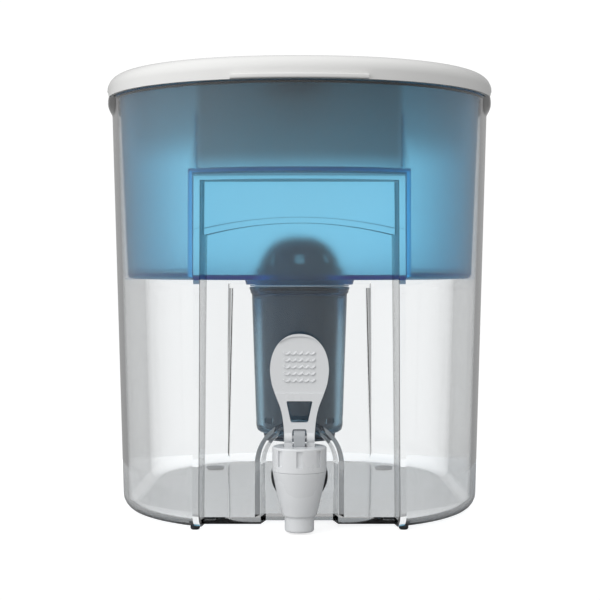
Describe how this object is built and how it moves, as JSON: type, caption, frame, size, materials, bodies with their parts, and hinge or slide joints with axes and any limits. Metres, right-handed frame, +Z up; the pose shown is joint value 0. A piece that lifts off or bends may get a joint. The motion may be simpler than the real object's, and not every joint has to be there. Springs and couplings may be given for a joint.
{
  "type": "countertop water dispenser",
  "caption": "Oval clear-walled water dispenser with a blue filter hopper, white lift-off lid and a lever spigot in a front recess.",
  "frame": {"origin": "centre of the bounding box's bottom, on the table plane under the feet", "axes": "+Z up, -Y is the front with the spigot, +X is the right side seen from the front"},
  "size_m": [0.2244, 0.3026, 0.252],
  "materials": {
    "clear_plastic": "clear gloss",
    "rubber": "matte",
    "spigot_plastic": "satin gloss",
    "blue_plastic": "lightly frosted",
    "silicone": "matte",
    "filter_plastic": "satin",
    "carbon": "matte",
    "lid_plastic": "gloss",
    "indicator_plastic": "satin",
    "board": "satin",
    "lens": "gloss",
    "button_plastic": "gloss",
    "stem_plastic": "satin",
    "steel": "plain"
  },
  "bodies": {
    "base": {"reservoir": "clear_plastic", "foot_front_left": "rubber", "foot_front_right": "rubber", "foot_rear_left": "rubber", "foot_rear_right": "rubber", "rim_seal": "rubber", "outer_washer": "rubber", "inner_washer": "rubber", "shank_nut": "spigot_plastic", "spigot_body": "spigot_plastic", "spigot_bonnet": "spigot_plastic", "valve_spring": "steel"},
    "hopper": {"hopper": "blue_plastic", "filter_sleeve": "blue_plastic", "sleeve_seal": "silicone"},
    "filter": {"filter_housing": "filter_plastic", "filter_media": "carbon", "filter_grille": "filter_plastic", "filter_cap": "filter_plastic", "filter_o_ring": "rubber"},
    "lid": {"lid": "lid_plastic", "indicator_housing": "indicator_plastic", "battery_cover": "indicator_plastic", "indicator_board": "board", "coin_cell": "steel", "indicator_lens": "lens"},
    "button": {"indicator_button": "button_plastic"},
    "stem": {"valve_stem": "stem_plastic", "valve_plug": "silicone"},
    "lever": {"lever": "spigot_plastic", "lever_pin": "steel"}
  },
  "joints": [
    {"name": "hopper_lift", "type": "slide", "parent": "base", "child": "hopper", "axis": [0, 0, 1], "range_m": [0, 0.2]},
    {"name": "filter_lift", "type": "slide", "parent": "hopper", "child": "filter", "axis": [0, 0, 1], "range_m": [0, 0.068]},
    {"name": "lid_lift", "type": "slide", "parent": "hopper", "child": "lid", "axis": [0, 0, 1], "range_m": [0, 0.08]},
    {"name": "button_press", "type": "slide", "parent": "lid", "child": "button", "axis": [0, 0, -1], "range_m": [0, 0.0008], "stiffness_N_per_m": 300, "springref_m": -0.001},
    {"name": "stem_lift", "type": "slide", "parent": "base", "child": "stem", "axis": [0, 0, 1], "range_m": [0, 0.004], "deforming": ["valve_spring"]},
    {"name": "lever_pull", "type": "hinge", "parent": "stem", "child": "lever", "pos_m": [0, -0.1283, 0.051], "axis": [1, 0, 0], "range_deg": [0, 28], "stiffness_Nm_per_rad": 0.0468, "springref_deg": -21.01}
  ],
  "couplings": [
    {"joint": "stem_lift", "follows": "lever_pull", "m_per_rad": 0.00818}
  ]
}
